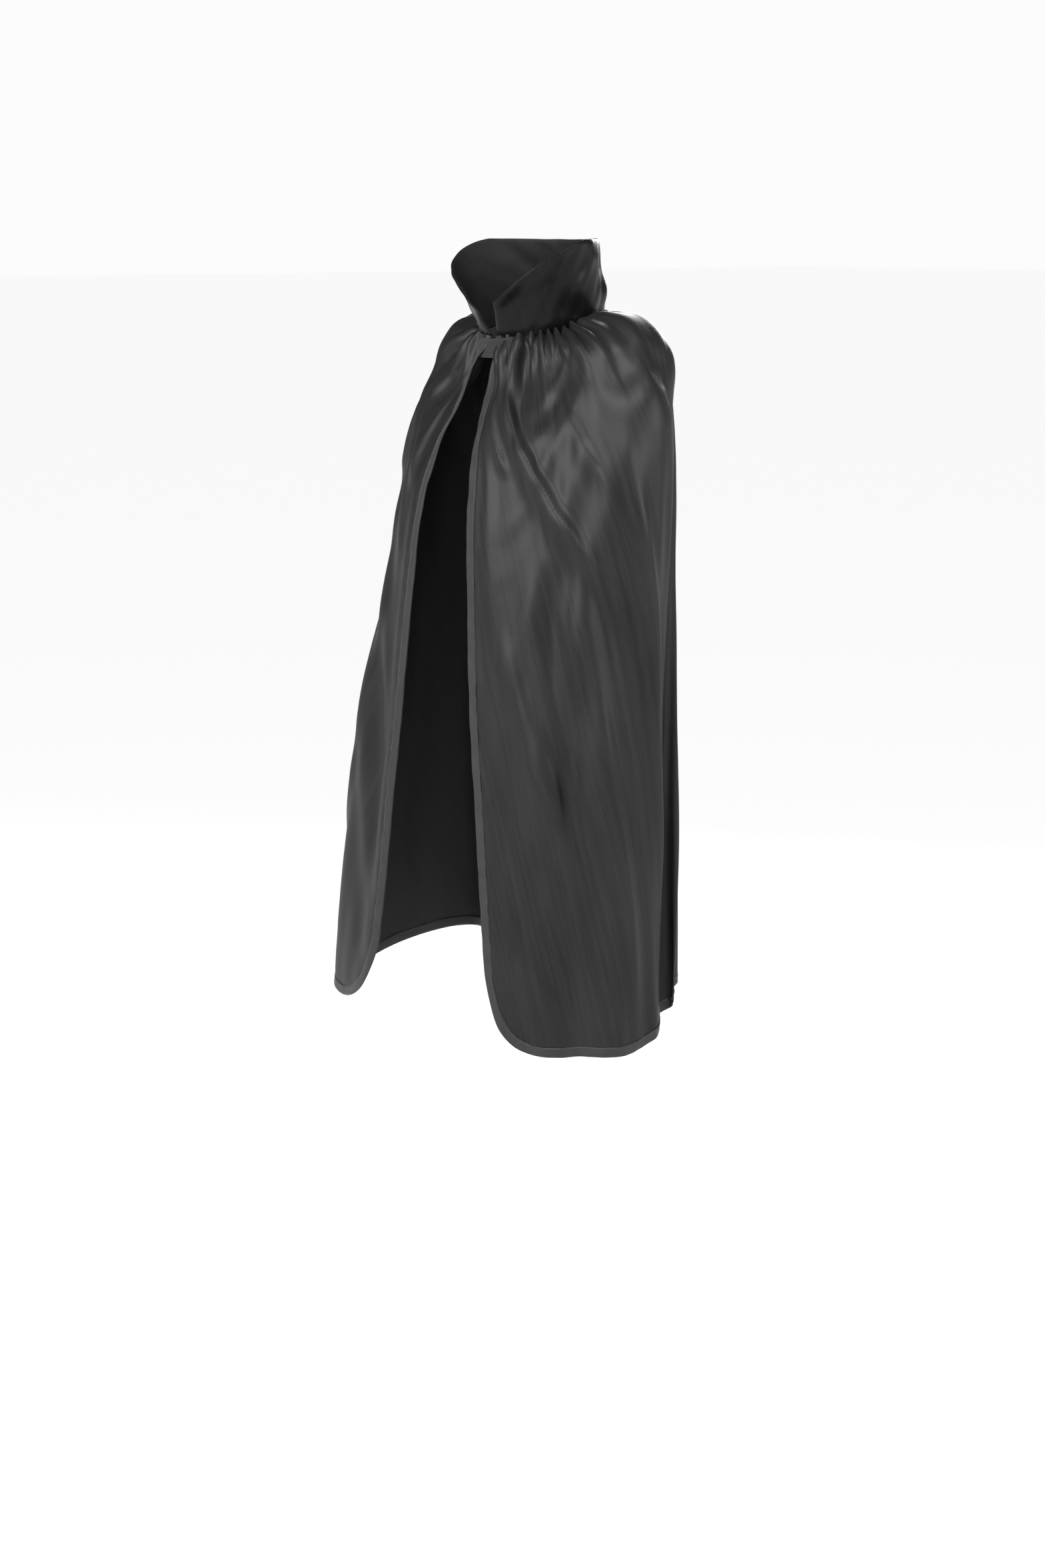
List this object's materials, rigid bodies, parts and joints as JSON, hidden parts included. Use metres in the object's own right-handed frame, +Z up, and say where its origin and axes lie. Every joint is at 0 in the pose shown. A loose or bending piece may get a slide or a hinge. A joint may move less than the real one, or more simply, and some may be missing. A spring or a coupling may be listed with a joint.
{
  "type": "costume cape",
  "caption": "Gathered satin cape with a stiff stand-up collar, taped edges, rounded front corners and a hook-and-loop neck tab.",
  "frame": {"origin": "middle of the neck seam, the ring where the collar meets the gathered cape", "axes": "+Z up the wearer's neck, -Y the way the wearer faces, +X the wearer's left"},
  "size_m": [0.4363, 0.2319, 0.7831],
  "materials": {
    "satin": "black polyester satin",
    "satin_back": "matte back of the satin",
    "stiffener": "non-woven interfacing",
    "edge_tape": "folded polyester tape",
    "hook_and_loop": "fuzzy hook-and-loop",
    "label": "blank woven label"
  },
  "bodies": {
    "neck": {"collar_outer": "satin", "collar_interfacing": "stiffener", "collar_lining": "satin_back", "neck_tape": "edge_tape", "care_label": "label", "cape_back": "satin", "back_hem_binding": "edge_tape", "loop_patch": "hook_and_loop"},
    "left_front": {"left_front_panel": "satin", "left_front_binding": "edge_tape"},
    "right_front": {"right_front_panel": "satin", "right_front_binding": "edge_tape"},
    "tab": {"closure_tab": "hook_and_loop", "hook_patch": "hook_and_loop"}
  },
  "joints": [
    {"name": "left_front_swing", "type": "hinge", "parent": "neck", "child": "left_front", "pos_m": [0.005, -0.062, -0.011], "axis": [-0.6153, -0.7779, -0.1277], "range_deg": [0, 22]},
    {"name": "right_front_swing", "type": "hinge", "parent": "neck", "child": "right_front", "pos_m": [-0.005, -0.062, -0.011], "axis": [-0.6153, 0.7779, 0.1277], "range_deg": [0, 22]},
    {"name": "tab_peel", "type": "hinge", "parent": "neck", "child": "tab", "pos_m": [0.0299, -0.064, -0.0208], "axis": [-0.1633, 0.4085, 0.898], "range_deg": [0, 140]}
  ]
}
